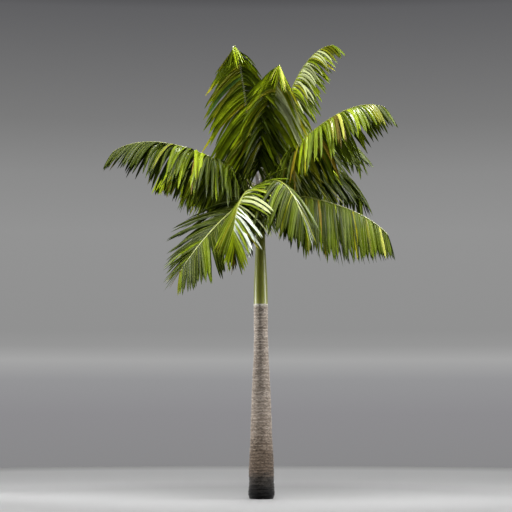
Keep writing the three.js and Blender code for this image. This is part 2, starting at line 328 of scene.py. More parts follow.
relief = add(tree, "ShaderNodeBump", {"Height": specks.outputs[0], "Strength": 0.7, "Distance": 0.006})
tree.links.new(relief.outputs[0], shader.inputs["Normal"])
# Cork scatters light: no clear highlight, only a faint dusty sheen towards the rims.
shader.inputs["Roughness"].default_value = 0.88
shader.inputs["Specular IOR Level"].default_value = 0.1
shader.inputs["Sheen Weight"].default_value = 0.25
shader.inputs["Sheen Roughness"].default_value = 0.4
trunk.data.materials.append(bark)

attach(trunk, "root")
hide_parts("trunk")
print("bark nodes", len(tree.nodes))

# %% [markdown]
# ## The crownshaft
# Above the trunk the bases of the living leaves are rolled round each other into a smooth column.
# Only the outermost sheath shows, with its open edge running up one side as a thin step. The
# column is raised as the trunk was, with a rounded shoulder at the top. Then the faces of the
# outer sheath are picked by their angle and height, and extruded outward by the thickness of a
# sheath, which leaves the edge as a real step.

# %% Crownshaft column
SHAFT_SIDES = 56
FOOT_LIP = (SHAFT_FOOT, 0.1335)
FOOT_HEIGHTS, TOP_HEIGHTS = [SHAFT_FOOT, 3.832, 3.85], [6.24, 6.27]
EVEN_HEIGHTS = np.linspace(3.9, 6.2, 34)
SHOULDER_LOOPS = [(6.293, 0.056), (6.308, 0.040), (SHAFT_TOP - 0.002, 0.018)]

shaft_heights = np.concatenate([FOOT_HEIGHTS, EVEN_HEIGHTS, TOP_HEIGHTS])
shaft_loops = [(float(z), float(np.interp(z, *shaft_profile.T))) for z in shaft_heights]
shaft_loops[0] = FOOT_LIP
shaft_loops += SHOULDER_LOOPS
crownshaft = raise_column("crownshaft_sheaths", shaft_loops, SHAFT_SIDES)
print("crownshaft vertices", len(crownshaft.data.vertices))

# %% Outer sheath
SHEATH_THICKNESS = 0.0035
SHEATH_END = 5.62
SHEATH_CREASE = 40
EDGE_ANGLE, EDGE_HEIGHT, EDGE_TURN = 305, 4, 9
OPENING = 62
STEEPEST_NORMAL = 0.5

for face in crownshaft.data.polygons:
    x, y, z = face.center
    angle = math.degrees(math.atan2(y, x - lean(z))) % 360
    edge = EDGE_ANGLE + EDGE_TURN * (z - EDGE_HEIGHT)
    on_side = abs(face.normal.z) < STEEPEST_NORMAL
    face.select = on_side and z < SHEATH_END and not edge < angle < edge + OPENING
select_only(crownshaft)
bpy.ops.object.mode_set(mode="EDIT")
bpy.ops.mesh.select_mode(type="FACE")
bpy.ops.mesh.extrude_region_shrink_fatten(TRANSFORM_OT_shrink_fatten={"value": SHEATH_THICKNESS})
bpy.ops.object.mode_set(mode="OBJECT")
bpy.ops.object.shade_smooth_by_angle(angle=math.radians(SHEATH_CREASE))
print("crownshaft faces", len(crownshaft.data.polygons))

# %% [markdown]
# ## Waxy sheath
# A living sheath is smooth and slightly waxy. Its green is olive in the middle, runs in faint
# streaks along the fibres, and turns pale near the foot where the sheath is oldest. At the very
# top, under the leaf stalks, a grey lilac bloom covers it. A few dark marks lie round the column.

# %% Sheath material
sheath, tree, shader = new_material("waxy leaf sheath")
place = add(tree, "ShaderNodeTexCoord").outputs["Object"]
height_z = add(tree, "ShaderNodeSeparateXYZ", {0: place}).outputs["Z"]
long = add(tree, "ShaderNodeMapping", {"Vector": place, "Scale": (1, 1, 0.02)}).outputs[0]
# Fibre bundles are about 2 mm apart. They are drawn at 14 mm, because finer ones would not show.
fibres = add(tree, "ShaderNodeTexNoise", {"Vector": long, "Scale": per_metre(14), "Detail": 3.0})
by_height = add(tree, "ShaderNodeMapRange",
                {0: height_z, FROM_LOW: TRUNK_TOP, FROM_HIGH: SHAFT_TOP}).outputs[0]
grown = add(tree, "ShaderNodeValToRGB", {0: by_height},
            [(0.0, "#8c8f44"), (0.06, "#787c26"), (0.5, "#65691a"), (0.86, "#565a16"),
             (1.0, "#8f8a8e")]).outputs[0]
streak = add(tree, "ShaderNodeValToRGB", {0: fibres.outputs[0]},
             [(0.35, "#b9b9b9"), (0.65, "#ffffff")]).outputs[0]
streaked = add(tree, "ShaderNodeMix", {0: 0.7, MIX_A: grown, MIX_B: streak},
               data_type="RGBA", blend_type="MULTIPLY").outputs[MIXED]
round_flat = add(tree, "ShaderNodeMapping", {"Vector": place, "Scale": (0.6, 0.6, 14)}).outputs[0]
marks = add(tree, "ShaderNodeTexNoise", {"Vector": round_flat, "Scale": per_metre(420), "Detail": 2.0})
mark_share = add(tree, "ShaderNodeMapRange",
                 {0: marks.outputs[0], FROM_LOW: 0.62, FROM_HIGH: 0.7, TO_HIGH: 0.3}).outputs[0]
marked = add(tree, "ShaderNodeMix", {0: mark_share, MIX_A: streaked, MIX_B: linear("#3f4216")},
             data_type="RGBA")
tree.links.new(marked.outputs[MIXED], shader.inputs["Base Color"])
# Wax over living tissue gives long soft highlights down the column, a little duller on the fibres.
gloss = add(tree, "ShaderNodeMapRange", {0: fibres.outputs[0], TO_LOW: 0.26, TO_HIGH: 0.4}).outputs[0]
tree.links.new(gloss, shader.inputs["Roughness"])
relief = add(tree, "ShaderNodeBump", {"Height": fibres.outputs[0], "Strength": 0.25, "Distance": 0.002})
tree.links.new(relief.outputs[0], shader.inputs["Normal"])
crownshaft.data.materials.append(sheath)

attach(crownshaft, "root")
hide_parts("crownshaft")
print("sheath nodes", len(tree.nodes))

# %% [markdown]
# ## How a frond grows
# Every frond follows one rule. Its rib leaves the crownshaft at a heading and a rise, arches down
# evenly, and hooks over near the tip. Stepping along that direction gives the rib's points. The
# table has one row per frond, with the ribs that the solids were grown from: heading and its
# turn, rise, arch, hook, length and height of the seat. Then come its leaflets: their size, the
# last one's length against the longest, sag, droop at the root, how much more they droop on the
# counter-clockwise side, lift of both sides, and the roll that raises the clockwise side. The
# leaflets of the three top fronds are softer here than in the solids, as in the photo. Last come
# the lightness of the tints, where more than 1 is lighter, and the seed of the small differences.

# %% Frond table and rib rule
RIB_STEPS = 48
ARCH_POWER, HOOK_POWER = 1.4, 7
Frond = namedtuple("Frond", "name heading sweep rise arch hook length seat "
                            "leaf last sag droop uneven lift tilt light seed")
# The light column is painted light and shade: fronds that stand in shade draw darker tints, lit ones lighter
# tints.
FRONDS = [Frond(*row) for row in [
    ("left", 195, -5, 36.5, 53, 22, 3.14, 6.15, 0.92, 0.34, 2.0, 0.4, 0, 20, 0, 0.38, 11),
    ("low_left", 231, -6, -31, 20, 0, 2.82, 6.11, 0.86, 0.45, 0.8, 0.5, 0.3, 0, 18, 0.12, 108),
    ("front_left", 257, -4, 5, 88, 24, 2.62, 6.01, 0.9, 0.45, 1.0, 0.5, -0.7, 0, 0, 1.2, 206),
    ("front_right", 280.5, 12, 7.5, 62, 0, 3.0, 6.11, 0.95, 0.5, 2.4, 0.4, 0, 0, 0, 0.22, 302),
    ("low_right", 335, -5.5, -7.5, 28, 14, 2.92, 6.06, 0.95, 0.38, 3.4, 1.0, 0, 0, 0, 0.33, 399),
    ("high_right", 330, 8.5, 50.5, 43, 36, 3.14, 6.14, 0.88, 0.4, 2.0, 0.4, 0, 0, 0, 0.8, 496),
    ("top_right", 350, -14, 77, 21, 60, 3.22, 6.27, 0.66, 0.42, 1.7, 0.2, 0, -55, 0, 2.6, 593),
    ("top_front", 304, -36, 72, 24, 120, 2.9, 6.27, 0.98, 0.36, 1.9, 0.65, 0.4, -15, 0, 12.0, 690),
    ("top_left", 214, 50, 80, 11, 133, 3.16, 6.27, 1.0, 0.36, 1.35, 0.7, -0.15, -10, 0, 3.0, 787),
    ("back_right", 43.5, -7.5, 36, 66, 36, 3.0, 6.10, 0.9, 0.55, 1.6, 0.45, 0, 0, 0, 0.14, 884),
    ("mid_right", 44, -12, 47, 40, 70, 3.0, 6.20, 1.0, 0.5, 1.5, 0.4, 0, 0, 0, 0.32, 984),
    ("back_up", 90, 0, 66, 70, 50, 3.1, 6.26, 0.85, 0.4, 2.2, 0.6, 0, 0, 0, 0.5, 1081),
    ("back_low", 100, 0, 24, 70, 30, 3.1, 6.03, 0.85, 0.4, 2.6, 0.5, 0, 0, 0, 0.6, 1175),
    ("back_left", 124, 0, 34, 60, 30, 2.95, 6.16, 0.95, 0.4, 2.6, 0.5, 0, 0, 0, 0.7, 1272),
    ("left_back", 150, 5, 40, 56, 30, 2.5, 6.06, 0.85, 0.4, 2.4, 0.5, 0, 0, 0, 0.7, 1369),
    ("right_back", 14, 0, 4, 46, 30, 2.45, 6.02, 0.8, 0.4, 2.8, 0.6, 0, 0, 0, 0.6, 1466),
]]


def rib_direction(frond, share):
    """Direction of the rib at shares of its length."""
    t = np.maximum(share, 0)
    rise = np.radians(frond.rise - frond.arch * t**ARCH_POWER - frond.hook * t**HOOK_POWER)
    heading = np.radians(frond.heading + frond.sweep * t)
    return np.stack([np.cos(rise) * np.cos(heading), np.cos(rise) * np.sin(heading), np.sin(rise)], -1)


def rib_points(frond):
    """Points along the rib, stepped out from its seat on the crownshaft."""
    start = math.radians(frond.heading)
    radius = np.interp(frond.seat, *np.array(SHAFT_STATIONS).T)
    seat = [radius * math.cos(start) + lean(frond.seat), radius * math.sin(start), frond.seat]
    middles = (np.arange(RIB_STEPS) + 0.5) / RIB_STEPS
    steps = rib_direction(frond, middles) * frond.length / RIB_STEPS
    return np.vstack([seat, seat + np.cumsum(steps, 0)])


RIBS = {frond.name: rib_points(frond) for frond in FRONDS}


def rib_frame(frond, share):
    """Place and axes of the rib at shares of its length: along, across and out of its top."""
    share = np.asarray(share, float)
    along = rib_direction(frond, share)
    heading = np.radians(frond.heading + frond.sweep * np.maximum(share, 0))
    across = np.stack([-np.sin(heading), np.cos(heading), np.zeros_like(heading)], -1)
    steps = np.linspace(0, 1, RIB_STEPS + 1)
    point = np.stack([np.interp(share, steps, axis) for axis in RIBS[frond.name].T], -1)
    return point, along, across, np.cross(along, across)


print("highest rib point", max(points[:, 2].max() for points in RIBS.values()))

# %% [markdown]
# ## Stalks and ribs
# A palm's leaf stalk is broad and clasps the shaft, rounded below and channelled on top, and it
# thins to a wiry rib at the tip. All the ribs are one kind of thing repeated, so they are made as
# arrays: one section, scaled and set square to the rib at every step, and joined into one mesh.
# Below the seat the stalk runs on down the shaft as the raised back of its own sheath, and the
# section turns from the one direction to the other over the first steps of the rib.

# %% Rib sections
SECTION = np.array([(-1, 0.15), (-0.62, 0.62), (-0.28, 0.36), (0.28, 0.36), (0.62, 0.62), (1, 0.15),
                    (0.72, -0.55), (0.26, -0.92), (-0.26, -0.92), (-0.72, -0.55)])
FOOT_RADIUS, TIP_RADIUS, TAPER_POWER = 0.026, 0.007, 0.8
CLASP_REACH, CLASP_WIDER, CLASP_DEEPER = 0.035, 0.9, 0.1
BACK_LENGTH, BACK_SUNK, BACK_SHARE = 0.42, 0.006, 0.12
BACK_WIDTH, BACK_NARROWER = 0.058, 0.04
BACK_DEPTH, BACK_DEEPER = 0.002, 0.020
BACK_RINGS, TURN_RINGS = 8, 12
RIB_CREASE = 50


def rib_rings(frond):
    """Rings of points up the sheath's back and out along the rib, with their share of the rib."""
    down = np.linspace(1, 0, BACK_RINGS, endpoint=False)
    z = frond.seat - BACK_LENGTH * down
    start = math.radians(frond.heading)
    out = np.array([math.cos(start), math.sin(start), 0])
    axis = np.stack([lean(z), 0 * z, z], -1)
    on_shaft = np.outer(np.interp(z, *shaft_profile.T) - BACK_SUNK, out) + axis
    side = np.array([-math.sin(start), math.cos(start), 0])
    share = np.linspace(0, 1, RIB_STEPS + 1)
    point, _, across, above = rib_frame(frond, share)
    radius = FOOT_RADIUS + (TIP_RADIUS - FOOT_RADIUS) * share**TAPER_POWER
    clasp = np.exp(-share / CLASP_REACH)
    centres = np.vstack([on_shaft, point])
    widths = np.concatenate([BACK_WIDTH - BACK_NARROWER * down, radius * (1 + CLASP_WIDER * clasp)])
    depths = np.concatenate([BACK_DEPTH + BACK_DEEPER * (1 - down), radius * (1 + CLASP_DEEPER * clasp)])
    wide = np.vstack([np.tile(side, (BACK_RINGS, 1)), across])
    deep = np.vstack([np.tile(-out, (BACK_RINGS, 1)), above])
    turn = np.linspace(0, 1, TURN_RINGS)[:, None]
    blended = (1 - turn) * -out + turn * above[:TURN_RINGS]
    deep[BACK_RINGS:BACK_RINGS + TURN_RINGS] = blended / np.linalg.norm(blended, axis=1)[:, None]
    shares = np.concatenate([-down * BACK_SHARE, share])
    rings = (centres[:, None] + SECTION[None, :, :1] * (widths[:, None] * wide)[:, None]
             + SECTION[None, :, 1:] * (depths[:, None] * deep)[:, None])
    return rings, shares


# %% Rib mesh
def build_mesh(name, points, faces):
    """A new object from arrays of points and faces, at the origin."""
    mesh = bpy.data.meshes.new(name)
    mesh.from_pydata(points.tolist(), [], faces)
    mesh.update()
    piece = bpy.data.objects.new(name, mesh)
    bpy.context.scene.collection.objects.link(piece)
    return piece


rib_cloud, rib_faces, rib_shares, count = [], [], [], 0
corners = len(SECTION)
for frond in FRONDS:
    rings, shares = rib_rings(frond)
    for k in range(len(rings) - 1):
        for c in range(corners):
            a, b = count + k * corners + c, count + k * corners + (c + 1) % corners
            rib_faces.append((a, b, b + corners, a + corners))
    last = count + (len(rings) - 1) * corners
    rib_faces.append(tuple(range(count + corners - 1, count - 1, -1)))
    rib_faces.append(tuple(range(last, last + corners)))
    rib_cloud.append(rings.reshape(-1, 3))
    rib_shares.append(np.repeat(shares, corners))
    count += len(rings) * corners
ribs = build_mesh("frond_ribs", np.vstack(rib_cloud), rib_faces)
along_rib = ribs.data.attributes.new("along_rib", "FLOAT", "POINT")
along_rib.data.foreach_set("value", np.concatenate(rib_shares).astype(np.float32))
select_only(ribs)
bpy.ops.object.mode_set(mode="EDIT")
bpy.ops.mesh.select_all(action="SELECT")
bpy.ops.mesh.normals_make_consistent(inside=False)
bpy.ops.object.mode_set(mode="OBJECT")
bpy.ops.object.shade_smooth_by_angle(angle=math.radians(RIB_CREASE))
print("rib faces", len(ribs.data.polygons))

# %% [markdown]
# ## Rib skin
# The stalk's skin is hard and smooth. It is yellow-green along most of its length, paler than most
# leaflets, and has a dusty lilac bloom at the foot where it clasps the shaft. The rib's own
# attribute says how far along a point lies, so the colour follows every curve. A cloudy pattern
# shifts it a little, so that the bloom has no sharp edge.

# %% Rib material
CLOUD_SHIFT = 0.12

rib_skin, tree, shader = new_material("smooth leaf stalk")
share_here = add(tree, "ShaderNodeAttribute", attribute_name="along_rib").outputs["Fac"]
place = add(tree, "ShaderNodeTexCoord").outputs["Object"]
cloudy = add(tree, "ShaderNodeTexNoise", {"Vector": place, "Scale": per_metre(60), "Detail": 3.0}).outputs[0]
shifted = add(tree, "ShaderNodeMath", {0: cloudy, 1: CLOUD_SHIFT, 2: share_here},
              operation="MULTIPLY_ADD").outputs[0]
tint = add(tree, "ShaderNodeValToRGB", {0: shifted},
           [(0.03, "#6f7030"), (0.07, "#9a9194"), (0.15, "#85824a"), (0.3, "#767c2c"),
            (1.0, "#80862f")]).outputs[0]
tree.links.new(tint, shader.inputs["Base Color"])
# A hard smooth skin draws a thin bright line along each rib, broken where the bloom dulls it.
gloss = add(tree, "ShaderNodeMapRange", {0: cloudy, TO_LOW: 0.32, TO_HIGH: 0.5}).outputs[0]
tree.links.new(gloss, shader.inputs["Roughness"])
ribs.data.materials.append(rib_skin)

frond_nodes = sorted(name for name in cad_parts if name.startswith("frond_"))
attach(ribs, "root")
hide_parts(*frond_nodes)
print("ribs stand for", len(frond_nodes), "solids")

# %% [markdown]
# ## Leaflets
# A leaflet leaves the rib at an angle, in one of two ranks so that the feather is plump, and then
# bends down under its own weight. The rule is the one that grew the solids, carried on to almost
# six times as many leaflets. Each is folded along its middle like a roof, about 75 mm wide and up
# to nearly 1.5 m long, and its width is carried along the bend so that it never turns over by
# itself. A leaflet that would run into the stem or another rib is raised, lowered or cut shorter,
# and left off if that isn't enough.

# %% Leaflet course
BARE_STALK = 0.11
LONGEST_AT, FIRST_SHARE, LAST_POWER = 0.3, 0.75, 1.5
COURSE_STEPS, SAG_POWER = 24, 0.7
STATIONS = [0, 1, 3, 6, 9, 13, 17, 21, 24]
TRIES = [(1, 0), (1, 15), (1, -15), (0.85, 8), (0.7, 0), (0.5, 0)]
KEEP_OFF, CLEAR_FROM = 0.025, 3


def leaf_share(p, last):
    """Length of a leaflet against the longest, at a share of the leafy part of the rib."""
    if p < LONGEST_AT:
        return 1 - (1 - FIRST_SHARE) * ((LONGEST_AT - p) / LONGEST_AT) ** 2
    return 1 - (1 - last) * ((p - LONGEST_AT) / (1 - LONGEST_AT)) ** LAST_POWER


def leaf_course(point, start, length, sag, droop):
    """Points and directions of a leaflet that sets out from the rib and bends down."""
    u = ((np.arange(COURSE_STEPS) + 0.5) / COURSE_STEPS) ** SAG_POWER
    ways = start + np.outer(droop + sag * u, (0, 0, -1))
    ways /= np.linalg.norm(ways, axis=1)[:, None]
    points = np.vstack([point, point + np.cumsum(ways, 0) * length / COURSE_STEPS])
    return points[STATIONS], np.vstack([start, ways])[STATIONS]


def runs_clear(points, others):
    """True where a leaflet keeps off the stem and off the other fronds' ribs."""
    x, y, z = points[CLEAR_FROM:].T
    stem = np.interp(z, np.concatenate([trunk_profile[:, 0], shaft_profile[:, 0]]),
                     np.concatenate([trunk_profile[:, 1], shaft_profile[:, 1]]))
    if np.any((np.hypot(x - lean(z), y) < stem + KEEP_OFF) & (z < SHAFT_TOP)):
        return False
    gaps = np.linalg.norm(points[CLEAR_FROM:, None] - others[None], axis=2)
    return gaps.min() > KEEP_OFF


# %% Leaflet blade
OUTLINE = np.array([0.40, 0.62, 0.88, 1.0, 1.0, 0.96, 0.84, 0.54, 0.0])
LEAF_HALF_WIDTH, LEAF_THICKNESS = 0.037, 0.003
USUAL_LENGTH, WIDTH_POWER = 1.2, 0.3


def blade_rings(course, ways, start, first, length, roll, twist, fold):
    """Rings along a folded blade: left edge, fold, right edge and a thin underside."""
    wide = first - (ways @ first / (1 + ways @ start))[:, None] * (ways + start)
    top = np.cross(wide, ways)
    turn = (roll + twist * np.linspace(0, 1, len(STATIONS)))[:, None]
    wide, top = np.cos(turn) * wide + np.sin(turn) * top, np.cos(turn) * top - np.sin(turn) * wide
    half = (LEAF_HALF_WIDTH * (length / USUAL_LENGTH) ** WIDTH_POWER * OUTLINE)[:, None]
    drop = top * half * math.tan(fold)
    return np.stack([course - wide * half - drop, course, course + wide * half - drop,
                     course - top * LEAF_THICKNESS], 1)


print("longest leaflet share", leaf_share(LONGEST_AT, 0), "stations", len(STATIONS))

# %% [markdown]
# ## Tints
# A living crown is never one green. Young leaflets are lime, old ones olive or ochre, and a few
# have gone brown, while leaflets in shade are painted deep green as painted shade. Each tint is a
# plain colour dealt out to leaflets in short runs, as leaflets that opened together also age
# together, and rare tints come singly. The list runs roughly from dark to light, and a frond's
# painted light moves the draw along it, so fronds in shade are painted darker. Leaflets near the
# shaft are painted darker as shade. The two upright fronds close in a dark hollow between them, so
# their inner sides are painted darker still as the shade in that hollow. On a few stretches
# leaflets are painted pale as a highlight where gloss would catch the lamps, and a small table
# says where: frond, side, tint, begin, end and chance.

# %% Tints and their shares
TINTS = {"shade_green": ("#2d3805", 0.12), "deep_green": ("#445208", 0.18), "mid_green": ("#5b6b0b", 0.28),
         "olive": ("#666a0e", 0.13), "blue_green": ("#446127", 0.02), "brown": ("#4f4514", 0.02),
         "ochre": ("#7e6c1c", 0.035), "lime": ("#7e8f12", 0.18), "yellow": ("#918d1c", 0.03),
         "pale_lime": ("#adb04e", 0.025), "painted_sheen_green": ("#a2aa78", 0.0), "painted_glint_pale": ("#bcc4b4", 0.0)}
# Painted highlights: leaflets on these stretches take a pale tint where gloss would catch the lamps.
PAINTED_HIGHLIGHTS = [("front_left", 1, "painted_sheen_green", 0.28, 0.64, 0.6),
          ("front_left", 1, "painted_glint_pale", 0.64, 0.9, 0.6),
          ("front_right", 1, "painted_glint_pale", 0.62, 0.92, 0.3),
          ("top_right", -1, "painted_sheen_green", 0.05, 0.98, 0.5),
          ("top_front", 1, "painted_sheen_green", 0.1, 0.8, 0.35)]
USUAL_TINT = "mid_green"
OLD_TINTS = ("brown", "ochre")
RARE_TINTS = ("blue_green", "ochre", "yellow", "pale_lime")
SAME_AS_BEFORE, LONGER_RUNS = 0.35, 0.4
UPRIGHT_RISE = 70
UPRIGHT_SHADE, SPREAD_SHADE = (0.05, 1.2), (0.25, 1.6)
INNER_SIDES, INNER_LIGHT = {"top_front": -1, "top_left": 1}, 0.04
tint_names = [name for name, (_, share) in TINTS.items() if share]
tint_edges = np.cumsum([TINTS[name][1] for name in tint_names])


def pick_tint(draw):
    """Name of the tint at a draw between 0 and 1."""
    place = int(np.searchsorted(tint_edges, draw * tint_edges[-1]))
    return tint_names[min(place, len(tint_names) - 1)]


def deal_tint(frond, side, p, before, again, pick):
    """Tint of the next leaflet on one side of a rib: the one before it again, or a new one."""
    if before not in RARE_TINTS and again <= SAME_AS_BEFORE + LONGER_RUNS * p**3:
        return before
    upright = frond.rise > UPRIGHT_RISE
    # Painted light and shade: the frond's light, less near the shaft, and less again on the inner sides of
    # the two upright fronds.
    least, gain = UPRIGHT_SHADE if upright else SPREAD_SHADE
    light = frond.light * min(1, least + gain * p)
    if side == INNER_SIDES.get(frond.name):
        light *= INNER_LIGHT + (1 - INNER_LIGHT) * p**2
    dealt = pick_tint(pick ** (1 / light))
    return USUAL_TINT if upright and dealt in OLD_TINTS else dealt


def painted_highlight_over(frond, side, p, tint, draw):
    """The pale tint of a painted highlight where the table has one, or else the leaflet's own."""
    for name, highlight_side, highlight_tint, begin, end, chance in PAINTED_HIGHLIGHTS:
        if name == frond.name and side == highlight_side and begin < p < end and draw < chance:
            tint = highlight_tint
    return tint


print("tints", len(TINTS), "dealt by share", len(tint_names))

# %% [markdown]
# ## Growing the leaflets
# Pairs of leaflets are set along each rib, and each leaflet gets its own small roll, fold and
# twist. They lean together in loose bunches, because wind and weight part the feather into locks,
# and a slow wave along the rib gives that. Towards the tip the ranks close up, the small
# differences die down and the blades turn upright, and where they are short every second one is
# left off. That keeps the tips crisp and lets the sky through.

# %% Grow the leaflets
PAIRS = 76
CROWDED_POINTS = 2
LEAFLET_LENGTH, LENGTH_JITTER = 1.32, 0.12
SPARSE_BELOW = 0.6
BUNCHES, BUNCH_LEAN = 6.5, 7
CALM_AT_TIP = 0.85
LEAN_FIRST, LEAN_LOST, LEAN_OUT_POWER, LEAN_JITTER = 72, 40, 1.2, 8
TIP_CLOSING, TIP_POWER = 18, 8
RANK_LIFTS, RANK_MEAN, RANK_JITTER = [22, -4], 9, 7
LIMP_POWER, SAG_JITTER = 0.6, 0.25
TIP_ROLL, ROLL_JITTER, TWIST_JITTER = 1.2, 0.25, 0.4
FOLD, FOLD_JITTER = 0.40, 0.2

leaf_points = {name: [] for name in TINTS}
for frond in FRONDS:
    jitter = seeded(frond.seed)
    others = np.vstack([points[CROWDED_POINTS:] for name, points in RIBS.items() if name != frond.name])
    held = {-1: USUAL_TINT, 1: USUAL_TINT}
    wave = {-1: jitter(math.pi), 1: jitter(math.pi)}
    for index in range(PAIRS):
        for side in (-1, 1):
            # The two sides alternate, half a step apart, and the last leaflet sits at the very tip.
            p = min((index + 0.25 + 0.25 * side) / (PAIRS - 0.5), 1)
            share = leaf_share(p, frond.last)
            if share < SPARSE_BELOW and index % 2:
                continue
            point, along, across, above = rib_frame(frond, BARE_STALK + (1 - BARE_STALK) * p)
            calm = 1 - CALM_AT_TIP * p**2
            bunched = BUNCH_LEAN * math.sin(2 * math.pi * BUNCHES * p + wave[side])
            lean_out = math.radians(LEAN_FIRST - LEAN_LOST * p**LEAN_OUT_POWER - TIP_CLOSING * p**TIP_POWER
                                    + calm * (bunched + jitter(LEAN_JITTER)))
            rank = RANK_MEAN + calm * (RANK_LIFTS[index % 2] - RANK_MEAN + jitter(RANK_JITTER))
            lift = rank + frond.lift - side * frond.tilt
            length = LEAFLET_LENGTH * frond.leaf * share * (1 + jitter(LENGTH_JITTER))
            sag = share**LIMP_POWER * frond.sag * (1 + jitter(SAG_JITTER))
            droop = frond.droop + side * frond.uneven
            roll = side * TIP_ROLL * p**2 + jitter(ROLL_JITTER) * calm
            twist = jitter(TWIST_JITTER) * calm
            fold = FOLD + jitter(FOLD_JITTER)
            again, pick, highlight_draw = (jitter(0.5) + 0.5 for _ in range(3))
            held[side] = deal_tint(frond, side, p, held[side], again, pick)
            for cut, raised in TRIES:
                up = math.radians(lift + raised)
                start = (math.cos(lean_out) * along + side * math.sin(lean_out) * math.cos(up) * across
                         + math.sin(lean_out) * math.sin(up) * above)
                course, ways = leaf_course(point, start, length * cut, sag, droop)
                if runs_clear(course, others):
                    break
            else:
                continue
            first = side * (along - (along @ start) * start)
            first /= np.linalg.norm(first)
            tint = painted_highlight_over(frond, side, p, held[side], highlight_draw)
            leaf_points[tint].append(blade_rings(course, ways, start, first, length, roll, twist, fold))
print("leaflets", {name: len(rows) for name, rows in leaf_points.items()})

# %% [markdown]
# ## Leaf blade
# A leaflet's skin is leathery under a thin natural wax. Fine parallel veins run its whole length
# and a paler line marks the fold. The tint is the plain colour of the material, and only its depth
# varies a little, in blotches about 180 mm long.

# %% Leaf blade material
VEINS = 14


def leaf_blade(name, colour):
    """Leathery leaflet skin of one tint."""
    material, tree, shader = new_material(name)
    place = add(tree, "ShaderNodeTexCoord")
    blotch = add(tree, "ShaderNodeTexNoise",
                 {"Vector": place.outputs["Object"], "Scale": per_metre(180), "Detail": 3.0}).outputs[0]
    depth = add(tree, "ShaderNodeValToRGB", {0: blotch}, [(0.3, "#a8a8a8"), (0.7, "#ffffff")]).outputs[0]
    shaded = add(tree, "ShaderNodeMix", {0: 0.6, MIX_A: linear(colour), MIX_B: depth},
                 data_type="RGBA", blend_type="MULTIPLY").outputs[MIXED]
    across = add(tree, "ShaderNodeSeparateXYZ", {0: place.outputs["UV"]}).outputs["X"]
    from_fold = add(tree, "ShaderNodeMath", {0: across, 1: 0.5}, operation="SUBTRACT").outputs[0]
    off = add(tree, "ShaderNodeMath", {0: from_fold}, operation="ABSOLUTE").outputs[0]
    ridge = add(tree, "ShaderNodeMapRange",
                {0: off, FROM_LOW: 0.03, FROM_HIGH: 0.09, TO_LOW: 0.25, TO_HIGH: 0.0}).outputs[0]
    lined = add(tree, "ShaderNodeMix", {0: ridge, MIX_A: shaded, MIX_B: linear("#a9ad5a")}, data_type="RGBA")
    tree.links.new(lined.outputs[MIXED], shader.inputs["Base Color"])
    # Real veins are about 2 mm apart. These are about 5 mm apart, and still show only close up.
    veins = add(tree, "ShaderNodeMath", {0: across, 1: 2 * math.pi * VEINS}, operation="MULTIPLY").outputs[0]
    vein_wave = add(tree, "ShaderNodeMath", {0: veins}, operation="SINE").outputs[0]
    relief = add(tree, "ShaderNodeBump", {"Height": vein_wave, "Strength": 0.12, "Distance": 0.001})
    tree.links.new(relief.outputs[0], shader.inputs["Normal"])
    # Thin wax gives narrow glints where a leaflet bends, and leaves the green deep elsewhere.
    shader.inputs["Roughness"].default_value = 0.32
    shader.inputs["Specular IOR Level"].default_value = 0.045
    return material


# %% Leaflet meshes
BLADE_CORNERS = 4
LEAF_CREASE = 35


def leaflet_mesh(name, leaflets):
    """One joined mesh of folded blades, each closed at its root and pointed at its tip."""
    rings = len(STATIONS) - 1
    faces, strips = [(3, 2, 1, 0)], [((1.5, 0), (1, 0), (0.5, 0), (0, 0))]
    for k in range(rings):
        for c in range(BLADE_CORNERS):
            u0, u1 = c / 2, (c + 1) / 2
            v0, v1 = STATIONS[k] / COURSE_STEPS, STATIONS[k + 1] / COURSE_STEPS
            a, b = BLADE_CORNERS * k + c, BLADE_CORNERS * k + (c + 1) % BLADE_CORNERS
            if k < rings - 1:
                faces.append((a, b, b + BLADE_CORNERS, a + BLADE_CORNERS))
                strips.append(((u0, v0), (u1, v0), (u1, v1), (u0, v1)))
            else:
                faces.append((a, b, BLADE_CORNERS * rings))
                strips.append(((u0, v0), (u1, v0), ((u0 + u1) / 2, v1)))
    size = BLADE_CORNERS * rings + 1
    cloud = [np.vstack([leaf[:-1].reshape(-1, 3), leaf[-1, 1]]) for leaf in leaflets]
    every = [tuple(i + n * size for i in face) for n in range(len(leaflets)) for face in faces]
    piece = build_mesh(name, np.vstack(cloud), every)
    layer = piece.data.uv_layers.new(name="along_leaf")
    flat = [pair for strip in strips for pair in strip]
    layer.data.foreach_set("uv", np.tile(np.array(flat, np.float32), (len(leaflets), 1)).ravel())
    return piece


for name, (colour, _) in TINTS.items():
    piece = leaflet_mesh("leaflets_" + name, leaf_points[name])
    piece.data.materials.append(leaf_blade("leathery leaf " + name.replace("_", " "), colour))
    select_only(piece)
    bpy.ops.object.shade_smooth_by_angle(angle=math.radians(LEAF_CREASE))
    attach(piece, "root")
    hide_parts(*frond_nodes)
    print(piece.name, len(leaf_points[name]), "leaflets", len(piece.data.polygons), "faces")

# %% [markdown]
# ## The studio
# The floor is a plain pale disc that catches the shadow under the trunk. Its paint is darker near
# the palm, a little paler some way out and darker again at the rim, as painted light that evens out
# the pools and falloff of the lamps. The backdrop is a soft grey sky with a pale band low down,
# darker towards the top. A low soft box at the left and a tall one at the right brighten both
# edges of the trunk and leave its middle darker. A broad one hangs above in front, and one behind
# keeps the far side from going black. Two strong small lamps act on gloss alone: they put glints
# on the waxy leaflets and light nothing else. An even daylight fills what is left.

# %% Floor
FLOOR_RADIUS, FLOOR_SIDES, FLOOR_HEIGHT = 20.0, 128, -0.001

